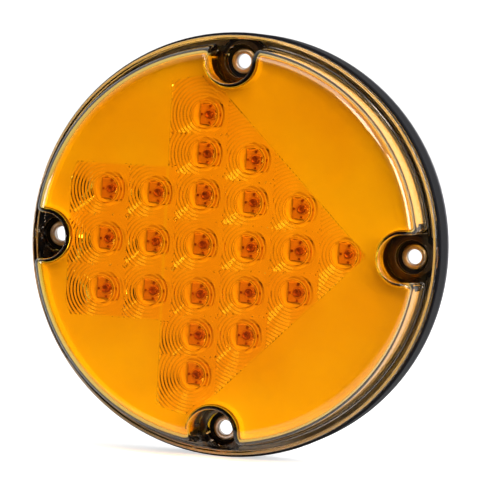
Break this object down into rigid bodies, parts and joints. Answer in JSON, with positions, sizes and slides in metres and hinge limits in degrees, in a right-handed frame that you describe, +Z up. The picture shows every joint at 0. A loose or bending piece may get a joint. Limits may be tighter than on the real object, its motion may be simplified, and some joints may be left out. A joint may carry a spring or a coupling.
{
  "type": "arrow direction lamp",
  "caption": "Round amber surface-mount direction lamp for a road vehicle: a clear lens over light-emitting diodes set out as an arrow, black housing, screw eyelets in the rim.",
  "frame": {"origin": "centre of the mounting plane, on the back of the foam gasket", "axes": "+Y goes into the surface the lamp is screwed to and the lens faces -Y; the arrow points along +X; +Z is up"},
  "size_m": [0.1906, 0.038, 0.1906],
  "materials": {
    "amber_lens": "clear amber polycarbonate, polished face, ring optics inside",
    "sealant": "cured pale sealant",
    "seal_rubber": "moulded black rubber",
    "black_housing": "fine-grained moulded black plastic",
    "foam_gasket": "closed-cell grey foam",
    "eyelet_metal": "nickel plated, rolled and polished",
    "reflector_white": "white satin moulding",
    "board_white": "white solder mask",
    "screw_steel": "zinc plated",
    "led_epoxy": "clear epoxy",
    "tinned_leads": "tinned",
    "chip_black": "moulded black resin",
    "capacitor_can": "drawn can",
    "socket_nylon": "black nylon",
    "terminal_metal": "tin plated"
  },
  "bodies": {
    "root": {"lens": "amber_lens", "lens_seal": "sealant", "collar_seals": "seal_rubber", "housing": "black_housing", "rear_gasket": "foam_gasket", "eyelet_right": "eyelet_metal", "eyelet_top": "eyelet_metal", "eyelet_left": "eyelet_metal", "eyelet_bottom": "eyelet_metal", "reflector_plate": "reflector_white", "circuit_board": "board_white", "board_screws": "screw_steel", "led_01": "led_epoxy", "led_02": "led_epoxy", "led_03": "led_epoxy", "led_04": "led_epoxy", "led_05": "led_epoxy", "led_06": "led_epoxy", "led_07": "led_epoxy", "led_08": "led_epoxy", "led_09": "led_epoxy", "led_10": "led_epoxy", "led_11": "led_epoxy", "led_12": "led_epoxy", "led_13": "led_epoxy", "led_14": "led_epoxy", "led_15": "led_epoxy", "led_16": "led_epoxy", "led_17": "led_epoxy", "led_18": "led_epoxy", "led_19": "led_epoxy", "led_20": "led_epoxy", "led_21": "led_epoxy", "led_22": "led_epoxy", "led_leads": "tinned_leads", "resistors": "chip_black", "polarity_diode": "chip_black", "surge_diode": "chip_black", "regulator": "chip_black", "smoothing_capacitor": "capacitor_can", "connector_socket": "socket_nylon", "connector_seal": "seal_rubber", "terminal_supply": "terminal_metal", "terminal_ground": "terminal_metal", "breather_vent": "socket_nylon"}
  },
  "joints": []
}
